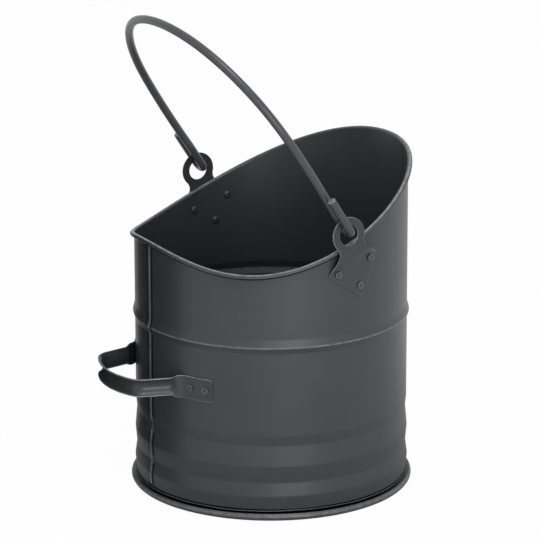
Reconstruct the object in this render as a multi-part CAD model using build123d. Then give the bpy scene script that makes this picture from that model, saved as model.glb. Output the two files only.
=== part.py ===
from build123d import *

import math
import os

# Coal hod: a rolled sheet-steel bucket with a high pouring lip, a rod bail hooked through two riveted
# ears, and a channel handle riveted across the seam at the back. All sizes are in millimetres.
# The origin is on the body's axis at the floor that the foot hoop stands on. +Z is up, +X points from
# the back seam to the pouring lip, and +Y points to the left ear. Angles go round +Z from the lip.

# Body sheet
BODY_RADIUS = 140.0
SHEET = 0.8
WALL_BOTTOM = 1.8
FOOT_STRAIGHT = 12.8

# Rim: height of the rolled edge's centre over the floor, all the way round
LIP_HEIGHT = 347.7
SADDLE_HEIGHT = 255.3
BACK_HEIGHT = 271.1
SADDLE_ANGLE = 129.0
LIP_ROUNDING = 1.09
RIM_STEP = 10.0

# Rolled edge and the wire inside it
WIRE_RADIUS = 1.45
WIRE_CLEARANCE = 0.25
ROLL_SINK = 0.55
CURL_START = 200.0
CURL_END = -125.0
CURL_FLAT_COUNT = 7
WIRE_FLAT_COUNT = 6

# Raised bead round the middle
BEAD_BOTTOM = 175.5
BEAD_RIDGE = 182.0
BEAD_TOP = 189.8
BEAD_DEPTH = 2.2

# Swages above the foot: two grooves, with a swell above the foot and one between the grooves
SWAGE_TOP = 89.0
UPPER_GROOVE = 78.1
UPPER_GROOVE_DEPTH = 1.2
SWELL = 57.1
SWELL_RISE = 0.7
LOWER_GROOVE = 38.9
LOWER_GROOVE_DEPTH = 0.8
FOOT_SWELL = 25.6
FOOT_SWELL_RISE = 1.2

# Grooved lock seam down the back
SEAM_WIDTH = 7.0
SEAM_HEIGHT = 1.2

# Recessed base pan, whose flange hangs down inside the wall
PAN_SHEET = 1.0
PAN_FLOOR = 11.0

# Foot hoop: a strip rolled round the wall's bottom edge, with a lip up the outside of the wall
HOOP_RADIUS = 4.56
HOOP_FLAT_COUNT = 8
HOOP_LIP_TOP = 12.5
HOOP_LIP_SHEET = 0.9

# Ears: a plate hooked over the rolled edge, with its lower half bent to the wall
EAR_TURN = 3.0
EAR_ABOVE_RIM = 17.2
EAR_TILT = 17.0
EAR_SHEET = 2.0
EAR_EYE_RADIUS = 18.4
EAR_HOLE_RADIUS = 10.6
EAR_NECK_HALF = 14.8
EAR_NECK_DROP = 17.0
EAR_SHOULDER_HALF = 31.0
EAR_SHOULDER_DROP = 35.0
EAR_POINT_DROP = 71.0
EAR_CORNER = 3.5
EAR_ROLL_GAP = 0.35
EAR_STEP_TOP = 21.5
EAR_STEP_LENGTH = 6.5

# Ear rivets, from the middle of the eye, in the plate's own tilted frame
EAR_RIVETS = ((-20.3, -37.0), (20.3, -37.0), (0.0, -58.5))

# Handle rivets, round the wall from the handle's middle
HANDLE_RIVET_TURNS = (28.9, 36.1)

# Rivets, which are all alike
RIVET_SHANK = 2.2
RIVET_HEAD = 3.8
RIVET_HEAD_HEIGHT = 1.7
RIVET_TAIL = 4.2
RIVET_TAIL_HEIGHT = 1.4
RIVET_TAPER = 20.0
RIVET_FLAT_COUNT = 8
SHANK_FLAT_COUNT = 6

# Bail: a round rod, bowed over the top, with a hook through each ear's eye, a little askew in the eyes
BAIL_ROD = 4.35
BAIL_FLAT_COUNT = 8
BAIL_LEAN = 33.2
BAIL_SKEW = -0.7
BAIL_SIDE_GAP = 1.0
BAIL_PIVOT_FORWARD = 2.7
BAIL_PIVOT_UP = 2.0
BAIL_CROWN_TURN = 18.6
BAIL_SHOULDER_TURN = 63.0
BAIL_SHOULDER_RADIUS = 129.5
BAIL_SIDE_TURN = 14.9
BAIL_SIDE_RADIUS = 350.0
BAIL_FOOT_RADIUS = 80.0
BAIL_FOOT_STRAIGHT = 20.0
BAIL_STUB_TOP = 46.0

# Rear handle: a strip pressed into a gutter that opens outwards, flattened into a tab at each end
HANDLE_TURN = -2.7
HANDLE_HEIGHT = 132.6
HANDLE_SHEET = 1.5
HANDLE_WIDTH = 18.8
HANDLE_GUTTER = 5.0
HANDLE_FLAT_COUNT = 3
HANDLE_HAND_ROOM = 46.6
HANDLE_FRONT_RADIUS = 92.0
HANDLE_FRONT_TURN = 25.5
HANDLE_CORNER_RADIUS = 20.0
HANDLE_CORNER_TURN = 51.0
HANDLE_ARM = 25.0
HANDLE_TAB_WIDTH = 24.0
HANDLE_TAB_START = 27.0
HANDLE_TAB_END = 39.2

# Sizes that follow from the ones above
ROLL_RADIUS = WIRE_RADIUS + WIRE_CLEARANCE + SHEET
ROLL_PATH_RADIUS = BODY_RADIUS - SHEET + ROLL_SINK + ROLL_RADIUS
INNER_RADIUS = BODY_RADIUS - SHEET
EAR_FLAT_RADIUS = ROLL_PATH_RADIUS + ROLL_RADIUS + EAR_ROLL_GAP
BLANK_TOP = LIP_HEIGHT + 10.0
HANDLE_REACH = BODY_RADIUS + HANDLE_HAND_ROOM
REACH = 2 * BODY_RADIUS


def rim_height(angle):
    """Height of the rolled edge's centre: it falls from the lip to a low saddle and rises to the back."""
    angle = abs(angle)
    if angle <= SADDLE_ANGLE:
        share = (angle / SADDLE_ANGLE) ** LIP_ROUNDING
        return SADDLE_HEIGHT + (LIP_HEIGHT - SADDLE_HEIGHT) * (1 + math.cos(math.pi * share)) / 2
    share = (angle - SADDLE_ANGLE) / (180 - SADDLE_ANGLE)
    return SADDLE_HEIGHT + (BACK_HEIGHT - SADDLE_HEIGHT) * (1 - math.cos(math.pi * share)) / 2


EAR_HEIGHT = rim_height(90) + EAR_ABOVE_RIM


def round_point(radius, angle, height):
    """The point at a radius from the body's axis, an angle from the lip and a height."""
    turn = math.radians(angle)
    return (radius * math.cos(turn), radius * math.sin(turn), height)


def wall_plane(radius, angle, height):
    """A plane that faces outwards at a point of the wall, with its own Y axis up."""
    turn = math.radians(angle)
    return Plane(
        origin=round_point(radius, angle, height),
        x_dir=(-math.sin(turn), math.cos(turn), 0),
        z_dir=(math.cos(turn), math.sin(turn), 0),
    )


def rim_plane(angle):
    """The upright plane through the axis at an angle from the lip, set on the rolled edge's centre."""
    turn = math.radians(angle)
    centre = round_point(ROLL_PATH_RADIUS, angle, rim_height(angle))
    return Plane(origin=centre, x_dir=(math.cos(turn), math.sin(turn), 0), z_dir=(math.sin(turn), -math.cos(turn), 0))


def round_the_rim(section):
    """The left half of a thing with a steady section that follows the rolled edge, from back to lip."""
    steps = round(180 / RIM_STEP)
    return loft([rim_plane(180 - 180 * i / steps) * section for i in range(steps + 1)], ruled=True)


def arc_points(radius, start, end, flats):
    """Points on an arc about the origin, from a start angle to an end angle."""
    angles = [math.radians(start + (end - start) * i / flats) for i in range(flats + 1)]
    return [(radius * math.cos(angle), radius * math.sin(angle)) for angle in angles]


def band(one_side, other_side):
    """A closed section between two lines of points that run the same way."""
    return make_face(Polyline(*one_side, *reversed(other_side), close=True))


def curl_section():
    """The edge's rolled sheet: it leaves the wall, goes up and outwards over the wire and comes back under."""
    outer = arc_points(ROLL_RADIUS, CURL_START, CURL_END, CURL_FLAT_COUNT)
    inner = arc_points(ROLL_RADIUS - SHEET, CURL_START, CURL_END, CURL_FLAT_COUNT)
    return band(outer, inner)


def wall_points(offset, bottom):
    """The wall's line seen in section, moved out by an offset, as radius and height from the bottom up."""
    radius = BODY_RADIUS + offset
    return [
        (radius, bottom),
        (radius, FOOT_STRAIGHT),
        (radius + FOOT_SWELL_RISE, FOOT_SWELL),
        (radius - LOWER_GROOVE_DEPTH, LOWER_GROOVE),
        (radius + SWELL_RISE, SWELL),
        (radius - UPPER_GROOVE_DEPTH, UPPER_GROOVE),
        (radius, SWAGE_TOP),
        (radius, BEAD_BOTTOM),
        (radius + BEAD_DEPTH, BEAD_RIDGE),
        (radius, BEAD_TOP),
        (radius, BLANK_TOP),
    ]


def closed_section(edges):
    """A face in the upright plane through the axis, from edges given as radius and height."""
    return Plane.XZ * make_face(edges)


def wall_section(outside, inside, bottom):
    """The wall's section between two offsets, from a height up to the top of the uncut blank."""
    return Plane.XZ * band(wall_points(outside, bottom), wall_points(inside, bottom))


def blank_trim():
    """What is cut from the top of the blank: all above the rim's line as it is seen from the side."""
    steps = round(180 / RIM_STEP)
    angles = [180 - 180 * i / steps for i in range(steps + 1)]
    line = Spline(*[(BODY_RADIUS * math.cos(math.radians(a)), rim_height(a)) for a in angles])
    back = Polyline(line @ 0, (-REACH, BACK_HEIGHT), (-REACH, 2 * LIP_HEIGHT))
    front = Polyline(line @ 1, (REACH, LIP_HEIGHT), (REACH, 2 * LIP_HEIGHT), (-REACH, 2 * LIP_HEIGHT))
    return extrude(closed_section([line, back, front]), amount=REACH, both=True)


def rivet_shank(angle, height, plate):
    """The bar of a rivet through the wall and a plate outside it."""
    length = plate + SHEET + RIVET_TAIL_HEIGHT
    bar = extrude(RegularPolygon(RIVET_SHANK, SHANK_FLAT_COUNT), amount=-length)
    return wall_plane(BODY_RADIUS + plate, angle, height) * bar


def rivet(angle, height, plate):
    """One rivet: its head on a plate outside the wall, its shank and the tail set inside the wall."""
    head = extrude(RegularPolygon(RIVET_HEAD, RIVET_FLAT_COUNT), amount=RIVET_HEAD_HEIGHT, taper=RIVET_TAPER)
    tail = extrude(RegularPolygon(RIVET_TAIL, RIVET_FLAT_COUNT), amount=-RIVET_TAIL_HEIGHT, taper=RIVET_TAPER)
    sag = INNER_RADIUS - math.sqrt(INNER_RADIUS**2 - RIVET_TAIL**2)
    outside = wall_plane(BODY_RADIUS + plate, angle, height) * head
    inside = wall_plane(INNER_RADIUS - sag, angle, height) * tail
    return rivet_shank(angle, height, plate) + outside + inside


def ear_rivet_places():
    """Where the right ear's rivets go, as angle and height, before the ears' turn."""
    tilt = math.radians(EAR_TILT)
    places = []
    for across, along in EAR_RIVETS:
        forward = across * math.cos(tilt) - along * math.sin(tilt)
        up = across * math.sin(tilt) + along * math.cos(tilt)
        places.append((math.degrees(math.asin(forward / BODY_RADIUS)) - 90, EAR_HEIGHT + up))
    return places


def handle_rivet_places(side):
    """Where one tab's rivets go, as angle and height."""
    return [(180 + HANDLE_TURN + side * turn, HANDLE_HEIGHT) for turn in HANDLE_RIVET_TURNS]


def on_left(shape):
    """The left ear's side of a thing that is modelled on the right ear's side."""
    return mirror(shape, about=Plane.XZ)


def ear_turned(shape):
    """A thing of the ears, turned round the body's axis to where the ears are riveted."""
    return Rot(0, 0, EAR_TURN) * shape


def ear_rivets():
    """The right ear's three rivets, in place before the ears' turn."""
    return [rivet(angle, height, EAR_SHEET) for angle, height in ear_rivet_places()]


def ear_shanks():
    """The right ear's rivet holes, in place before the ears' turn."""
    return [rivet_shank(angle, height, EAR_SHEET) for angle, height in ear_rivet_places()]


def handle_rivets(side):
    """The two rivets of one tab of the handle."""
    return [rivet(angle, height, HANDLE_SHEET) for angle, height in handle_rivet_places(side)]


def handle_shanks():
    """The handle's rivet holes."""
    places = handle_rivet_places(-1) + handle_rivet_places(1)
    return [rivet_shank(angle, height, HANDLE_SHEET) for angle, height in places]


def body_wall():
    """The rolled sheet: swaged wall, lock seam and the edge curled over its wire."""
    wall = revolve(wall_section(0, -SHEET, WALL_BOTTOM), Axis.Z)
    seam_turn = math.degrees(SEAM_WIDTH / BODY_RADIUS)
    seam_section = wall_section(SEAM_HEIGHT, -SHEET / 2, HOOP_LIP_TOP)
    seam = revolve(seam_section, Axis.Z, revolution_arc=seam_turn)
    seam = Rot(0, 0, 180 - seam_turn / 2) * seam
    wall -= blank_trim()
    wall += seam - Pos(0, 0, SHEET / 2 - ROLL_RADIUS) * blank_trim()
    curl = round_the_rim(curl_section())
    wall += curl
    wall += on_left(curl)
    holes = [ear_turned(side) for hole in ear_shanks() for side in (hole, on_left(hole))]
    for hole in [*holes, *handle_shanks()]:
        wall -= hole
    return wall


def rim_wire():
    """The round wire that the top edge is curled over."""
    half = round_the_rim(RegularPolygon(WIRE_RADIUS, WIRE_FLAT_COUNT))
    return half + on_left(half)


def base_pan():
    """The raised floor of the bucket, with its flange hanging inside the wall."""
    low = PAN_FLOOR - PAN_SHEET
    bore = INNER_RADIUS - PAN_SHEET
    top = [(0, PAN_FLOOR), (INNER_RADIUS, PAN_FLOOR), (INNER_RADIUS, WALL_BOTTOM)]
    under = [(0, low), (bore, low), (bore, WALL_BOTTOM)]
    return revolve(Plane.XZ * band(top, under), Axis.Z)


def foot_hoop():
    """The hoop round the bottom edge: a bead that the wall and the pan's flange stand in, and a lip on the wall."""
    middle = BODY_RADIUS + HOOP_LIP_SHEET
    bead = Pos(middle, HOOP_RADIUS) * RegularPolygon(HOOP_RADIUS, HOOP_FLAT_COUNT, False, 180 / HOOP_FLAT_COUNT)
    seat = Pos(BODY_RADIUS, WALL_BOTTOM) * Rectangle(BODY_RADIUS, HOOP_LIP_TOP, align=(Align.MAX, Align.MIN))
    inside = Pos(INNER_RADIUS - PAN_SHEET, 0) * Rectangle(BODY_RADIUS, HOOP_LIP_TOP, align=(Align.MAX, Align.MIN))
    lip = Pos(BODY_RADIUS, HOOP_RADIUS) * Rectangle(
        HOOP_LIP_SHEET, HOOP_LIP_TOP - HOOP_RADIUS, align=(Align.MIN, Align.MIN)
    )
    return revolve(Plane.XZ * (bead - seat - inside + lip), Axis.Z)


def ear_outline():
    """The ear's flat outline, from the middle of its eye: a ring, a neck and a three-cornered plate."""
    half = [(EAR_NECK_HALF, 0), (EAR_NECK_HALF, -EAR_NECK_DROP), (EAR_SHOULDER_HALF, -EAR_SHOULDER_DROP)]
    other = [(-across, along) for across, along in reversed(half)]
    plate = make_face(Polyline(*half, (0, -EAR_POINT_DROP), *other, close=True))
    plate = fillet(plate.vertices().sort_by(Axis.Y)[:5], EAR_CORNER)
    return plate + Circle(EAR_EYE_RADIUS) - Circle(EAR_HOLE_RADIUS)


def ear_frame():
    """The ear's own frame, on the body's axis behind the middle of its eye: X across, Y along, Z outwards."""
    return Plane(origin=(0, 0, EAR_HEIGHT), x_dir=(1, 0, 0), z_dir=(0, -1, 0)) * Rot(0, 0, EAR_TILT)


def ear_core(depth):
    """All that lies inside the ear's inner face grown by a depth: the body, and a wedge from it to the flat."""
    out = EAR_FLAT_RADIUS - BODY_RADIUS
    low = -EAR_STEP_TOP - 3 * EAR_STEP_LENGTH
    slope = [(low, BODY_RADIUS - 2 * out), (-EAR_STEP_TOP, EAR_FLAT_RADIUS)]
    wedge = make_face(Polyline(*slope, (REACH, EAR_FLAT_RADIUS), (REACH, 0), (low, 0), close=True))
    if depth:
        wedge = offset(wedge, depth, kind=Kind.INTERSECTION)
    wedge = extrude(Plane.YZ * wedge, amount=REACH, both=True)
    return Pos(0, 0, EAR_HEIGHT) * Cylinder(BODY_RADIUS + depth, 2 * REACH) + ear_frame() * wedge


def ear():
    """The right ear before the ears' turn: bent to the wall below, stepped out over the rolled edge."""
    plate = ear_frame() * extrude(ear_outline(), amount=REACH) & ear_core(EAR_SHEET)
    plate -= ear_core(0)
    for hole in ear_shanks():
        plate -= hole
    return plate


def bail():
    """The bail before the ears' turn: hooked ends, straight feet inside the ears and a bow between."""
    lean = math.radians(BAIL_LEAN)
    inner = EAR_FLAT_RADIUS - BAIL_SIDE_GAP - BAIL_ROD
    outer = EAR_FLAT_RADIUS + EAR_SHEET + BAIL_SIDE_GAP + BAIL_ROD
    hook = (outer - inner) / 2
    stub = Line((outer, BAIL_STUB_TOP), (outer, hook))
    turn = JernArc(stub @ 1, stub % 1, radius=hook, arc_size=-180)
    leg = Line(turn @ 1, turn @ 1 + Vector(0, BAIL_FOOT_STRAIGHT))
    foot_turn = BAIL_CROWN_TURN + BAIL_SHOULDER_TURN + BAIL_SIDE_TURN - 90
    foot = JernArc(leg @ 1, leg % 1, radius=BAIL_FOOT_RADIUS, arc_size=-foot_turn)
    side = JernArc(foot @ 1, foot % 1, radius=BAIL_SIDE_RADIUS, arc_size=BAIL_SIDE_TURN)
    shoulder = JernArc(side @ 1, side % 1, radius=BAIL_SHOULDER_RADIUS, arc_size=BAIL_SHOULDER_TURN)
    crown_radius = (shoulder @ 1).X / math.sin(math.radians(BAIL_CROWN_TURN))
    crown = JernArc(shoulder @ 1, shoulder % 1, radius=crown_radius, arc_size=2 * BAIL_CROWN_TURN)
    half = [stub, turn, leg, foot, side, shoulder]
    path = Wire([*half, crown, *[edge.mirror(Plane.YZ) for edge in half]])
    rod = sweep(Plane(origin=stub @ 0, z_dir=(0, -1, 0)) * RegularPolygon(BAIL_ROD, BAIL_FLAT_COUNT), path=path)
    pivot = (BAIL_PIVOT_FORWARD, 0, EAR_HEIGHT + BAIL_PIVOT_UP)
    leant = Plane(origin=pivot, x_dir=(0, -1, 0), z_dir=(-math.cos(lean), 0, -math.sin(lean))) * rod
    return Rot(0, 0, BAIL_SKEW) * leant


def gutter_section():
    """The handle's pressed section: a shallow gutter that opens to +X, with its lips' tips at X = 0."""
    half = HANDLE_WIDTH / 2
    radius = (half**2 + HANDLE_GUTTER**2) / (2 * HANDLE_GUTTER)
    spread = math.degrees(math.asin(half / radius))
    back = arc_points(radius, 180 + spread, 180 - spread, HANDLE_FLAT_COUNT)
    front = arc_points(radius - HANDLE_SHEET, 180 + spread, 180 - spread, HANDLE_FLAT_COUNT)
    return Pos(-front[0][0], 0) * band(back, front)


def tab_section():
    """The same strip where it is flattened on the wall, as radius and height from the handle's middle."""
    heights = [HANDLE_TAB_WIDTH * (i / HANDLE_FLAT_COUNT - 0.5) for i in range(HANDLE_FLAT_COUNT + 1)]
    return band([(BODY_RADIUS, z) for z in heights], [(BODY_RADIUS + HANDLE_SHEET, z) for z in heights])


def rear_handle():
    """The handle, across the seam: a bowed gutter whose ends flatten into tabs bent to the wall."""
    front = JernArc((HANDLE_REACH, 0), (0, 1), radius=HANDLE_FRONT_RADIUS, arc_size=HANDLE_FRONT_TURN)
    corner = JernArc(front @ 1, front % 1, radius=HANDLE_CORNER_RADIUS, arc_size=HANDLE_CORNER_TURN)
    arm = Line(corner @ 1, corner @ 1 + HANDLE_ARM * (corner % 1))
    half = [front, corner, arm]
    path = Wire([*half, *[edge.mirror(Plane.XZ) for edge in half]])
    ahead = arm % 1
    end = Plane(origin=arm @ 1, x_dir=(ahead.Y, -ahead.X, 0), z_dir=(-ahead.X, -ahead.Y, 0)) * gutter_section()
    turn = math.radians(HANDLE_TAB_START)
    across = (math.sin(turn), -math.cos(turn), 0)
    tab_start = Plane(origin=(0, 0, 0), x_dir=(math.cos(turn), math.sin(turn), 0), z_dir=across) * tab_section()
    flare = loft([end, tab_start], ruled=True)
    tab = revolve(tab_start, Axis.Z, revolution_arc=HANDLE_TAB_END - HANDLE_TAB_START)
    handle = sweep(end, path=path)
    for piece in (flare, tab):
        handle += piece
        handle += piece.mirror(Plane.XZ)
    handle = Pos(0, 0, HANDLE_HEIGHT) * Rot(0, 0, 180 + HANDLE_TURN) * handle
    for hole in handle_shanks():
        handle -= hole
    return handle


def export_all():
    """Each sub-part to its own file."""
    os.makedirs("parts", exist_ok=True)
    right_ear = ear()
    right_rivets = ear_rivets()
    pieces = {
        "body_wall": body_wall(),
        "rim_wire": rim_wire(),
        "base_pan": base_pan(),
        "foot_hoop": foot_hoop(),
        "right_ear": ear_turned(right_ear),
        "left_ear": ear_turned(on_left(right_ear)),
        "right_ear_rivets": Compound([ear_turned(one) for one in right_rivets]),
        "left_ear_rivets": Compound([ear_turned(on_left(one)) for one in right_rivets]),
        "bail": ear_turned(bail()),
        "rear_handle": rear_handle(),
        "right_handle_rivets": Compound(handle_rivets(1)),
        "left_handle_rivets": Compound(handle_rivets(-1)),
    }
    for name, piece in pieces.items():
        export_step(piece, f"parts/{name}.step")


export_all()
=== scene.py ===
"""A coal hod in satin black: rolled sheet body, slanted lip, wire bail and pressed rear handle.

Everything is in metres in the part's own frame: +X to the pouring lip, +Y to the left ear and +Z up the
body's axis, from the plane that the foot hoop rests on. The hod's sizes and the camera's place are written in
millimetres and brought to metres when they are used. The lamps, the floor and the flag are written in metres.
Wear and painted light runs from -1, black as painted shade, by 0, plain paint, to 1, rubbed bright or lit as
a painted highlight.
"""

import logging
import math
from dataclasses import dataclass
from enum import Enum
from functools import reduce

import bmesh
import bpy
import numpy as np
from mathutils import Euler, Matrix, Vector

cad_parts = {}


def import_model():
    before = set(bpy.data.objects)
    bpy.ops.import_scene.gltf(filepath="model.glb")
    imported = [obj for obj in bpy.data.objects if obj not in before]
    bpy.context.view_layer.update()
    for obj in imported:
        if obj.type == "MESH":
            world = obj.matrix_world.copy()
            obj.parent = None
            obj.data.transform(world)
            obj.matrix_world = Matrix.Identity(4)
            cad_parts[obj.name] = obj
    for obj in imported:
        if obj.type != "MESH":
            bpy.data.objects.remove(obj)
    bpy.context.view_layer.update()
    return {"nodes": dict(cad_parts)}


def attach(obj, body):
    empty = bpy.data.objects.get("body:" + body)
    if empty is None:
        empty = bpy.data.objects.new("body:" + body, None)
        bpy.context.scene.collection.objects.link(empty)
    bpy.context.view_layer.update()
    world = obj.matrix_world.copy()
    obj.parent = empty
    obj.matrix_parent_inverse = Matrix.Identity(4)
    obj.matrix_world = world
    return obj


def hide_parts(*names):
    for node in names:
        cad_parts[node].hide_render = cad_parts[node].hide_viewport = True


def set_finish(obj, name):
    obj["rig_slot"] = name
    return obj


LOG = logging.getLogger("coal_hod")
MM = 0.001
WALL_RADIUS = 140.0
WALL_SHEET = 0.8
SHARP_ANGLE = 40.0
BODY_MIDDLE = 0.17


class Slot(Enum):
    """The record's material slots."""

    BODY = "body_paint"
    FITTING = "fitting_paint"
    BAIL = "bail_paint"
    RIVET = "rivet_paint"
    WIRE = "bare_wire"


class Body(Enum):
    """The rigid bodies that pieces ride on."""

    HOD = "hod"
    BAIL = "bail"


def smooth(share: np.ndarray) -> np.ndarray:
    """Ease from 0 to 1 by the cubic 3s^2 - 2s^3, held outside that range.

    Args:
        share: Any array, where 0 is the start and 1 the end.

    Returns:
        The eased values, the same shape.
    """
    held = np.clip(share, 0.0, 1.0)
    return held * held * (3.0 - 2.0 * held)


def bell(values: np.ndarray, middle: float, width: float) -> np.ndarray:
    """A bell curve: e to the minus square of how many widths a value is from the middle.

    Args:
        values: Any array.
        middle: Where the curve is 1.
        width: How far away it has fallen to 1/e.

    Returns:
        The curve's height at each value.
    """
    return np.exp(-(((values - middle) / width) ** 2))


def ring(count: int) -> np.ndarray:
    """Evenly spaced angles once round, in degrees from 0."""
    return np.linspace(0.0, 360.0, count + 1)[:-1]


def lathed(r: np.ndarray, z: np.ndarray, angle: np.ndarray) -> np.ndarray:
    """Points of a lathe: the radius times the angle's cosine and sine, and the height.

    Args:
        r: Radii.
        z: Heights.
        angle: Angles in radians from +X towards +Y.

    Returns:
        Array whose last axis is X, Y, Z.
    """
    return np.stack([r * np.cos(angle), r * np.sin(angle), z], axis=-1)


def turned(points: np.ndarray, degrees: float) -> np.ndarray:
    """Turn points about the body's axis.

    Args:
        points: Array whose last axis is X, Y, Z.
        degrees: Turn from +X towards +Y.

    Returns:
        The turned points.
    """
    angle = math.radians(degrees)
    flat_x = points[..., 0] * math.cos(angle) - points[..., 1] * math.sin(angle)
    flat_y = points[..., 0] * math.sin(angle) + points[..., 1] * math.cos(angle)
    return np.stack([flat_x, flat_y, points[..., 2]], axis=-1)


def arc(centre: tuple, radius: float, start: float, end: float, count: int) -> np.ndarray:
    """Points on an arc: the centre plus the radius at evenly spaced angles.

    Args:
        centre: The arc's centre, across and up.
        radius: Its radius.
        start: First angle in degrees, from across towards up.
        end: Last angle.
        count: How many points.

    Returns:
        Array of count rows of across and up.
    """
    angles = np.radians(np.linspace(start, end, count))
    return np.stack([centre[0] + radius * np.cos(angles), centre[1] + radius * np.sin(angles)], axis=-1)


def grid_faces(rows: int, columns: int, close_rows: bool, close_columns: bool) -> np.ndarray:
    """Quads of a grid whose point (i, j) has index i * columns + j.

    Args:
        rows: Points along the first parameter.
        columns: Points along the second.
        close_rows: Whether the last row joins the first.
        close_columns: Whether the last column joins the first.

    Returns:
        Array of faces, four indices each.
    """
    first = np.arange(rows if close_rows else rows - 1)
    second = np.arange(columns if close_columns else columns - 1)
    i, j = np.meshgrid(first, second, indexing="ij")
    after_i, after_j = (i + 1) % rows, (j + 1) % columns
    corners = [i * columns + j, after_i * columns + j, after_i * columns + after_j, i * columns + after_j]
    return np.stack(corners, axis=-1).reshape(-1, 4)


@dataclass
class Surface:
    """Vertices in millimetres, faces, and how worn or painted with light or shade each vertex is, ready to
    become one mesh.
    """

    points: np.ndarray
    faces: list
    wear_and_painted_light: np.ndarray

    @classmethod
    def from_grid(cls, grid: np.ndarray, wear_and_painted_light: np.ndarray, close_rows: bool, close_columns: bool,
                  caps: bool = False) -> "Surface":
        """Make a surface of a grid of points.

        Args:
            grid: Array of rows, columns and X, Y, Z.
            wear_and_painted_light: Array of rows and columns, from -1, painted shade, to 1, rubbed paint and
                painted highlight.
            close_rows: Whether the last row joins the first.
            close_columns: Whether the last column joins the first.
            caps: Whether the first and last rows are closed with a face each.

        Returns:
            The surface.
        """
        rows, columns = grid.shape[:2]
        faces = grid_faces(rows, columns, close_rows, close_columns).tolist()
        if caps:
            faces.append(list(range(columns)))
            faces.append(list(range((rows - 1) * columns, rows * columns))[::-1])
        return cls(grid.reshape(-1, 3), faces, wear_and_painted_light.reshape(-1))

    def joined(self, other: "Surface") -> "Surface":
        """Put another surface into the same mesh.

        Args:
            other: The surface that is added.

        Returns:
            A surface that holds both.
        """
        start = len(self.points)
        faces = self.faces + [[index + start for index in face] for face in other.faces]
        points = np.concatenate([self.points, other.points])
        return Surface(points, faces, np.concatenate([self.wear_and_painted_light, other.wear_and_painted_light]))

    def turned(self, degrees: float) -> "Surface":
        """The same surface turned about the body's axis."""
        return Surface(turned(self.points, degrees), self.faces, self.wear_and_painted_light)

    def mirrored(self) -> "Surface":
        """The same surface on the left ear's side, with its faces turned to point outwards again."""
        flipped = [list(reversed(face)) for face in self.faces]
        return Surface(self.points * np.array([1.0, -1.0, 1.0]), flipped, self.wear_and_painted_light)

    def to_object(self, name: str) -> bpy.types.Object:
        """Make the mesh and its object, smooth but for creases past the sharp angle.

        Args:
            name: The object's name.

        Returns:
            The object, at the origin.
        """
        mesh = bpy.data.meshes.new(name)
        mesh.from_pydata((self.points * MM).tolist(), [], self.faces)
        mesh.validate()
        # The attribute carries painted shade below 0, and rubbed paint and painted highlights above 0.
        attribute = mesh.attributes.new("wear_and_painted_light", "FLOAT", "POINT")
        attribute.data.foreach_set("value", self.wear_and_painted_light.astype(np.float32))
        made = bpy.data.objects.new(name, mesh)
        bpy.context.scene.collection.objects.link(made)
        orient_outwards(made)
        mesh.shade_smooth()
        mesh.set_sharp_from_angle(angle=math.radians(SHARP_ANGLE))
        return made


def orient_outwards(made: bpy.types.Object) -> None:
    """Make every face of a closed mesh point outwards.

    Args:
        made: The object whose mesh is put right.
    """
    work = bmesh.new()
    work.from_mesh(made.data)
    bmesh.ops.recalc_face_normals(work, faces=work.faces)
    work.to_mesh(made.data)
    work.free()


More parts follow.
